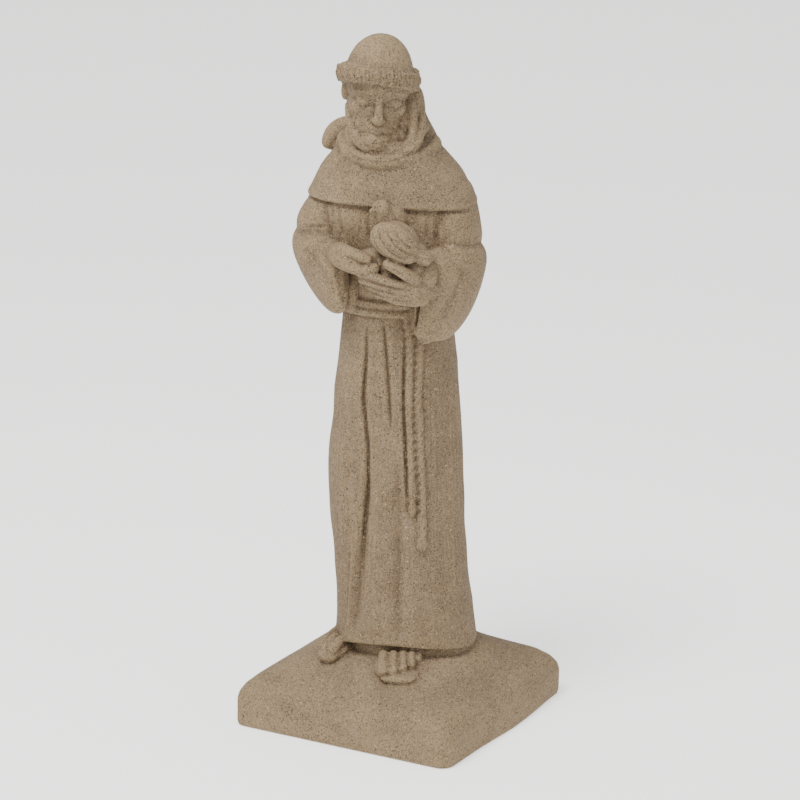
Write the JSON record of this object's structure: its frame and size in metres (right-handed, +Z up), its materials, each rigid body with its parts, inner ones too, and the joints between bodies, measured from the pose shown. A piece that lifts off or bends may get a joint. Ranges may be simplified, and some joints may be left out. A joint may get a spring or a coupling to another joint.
{
  "type": "saint francis statue",
  "caption": "Garden statue of a tonsured friar in a hooded, roped habit holding a dove in cupped hands, on a pillow-topped square base, all one hollow moulding.",
  "frame": {"origin": "centre of the base's underside, on the ground the statue stands on", "axes": "+Z up through the head, the base's sides along X and Y, the statue's front towards -Y with the figure turned 17 degrees on its base towards +X"},
  "size_m": [0.192, 0.188, 0.5331],
  "materials": {
    "stone_resin": "matte speckled sandstone look, moulded through the wall"
  },
  "bodies": {
    "root": {"statue": "stone_resin"}
  },
  "joints": []
}
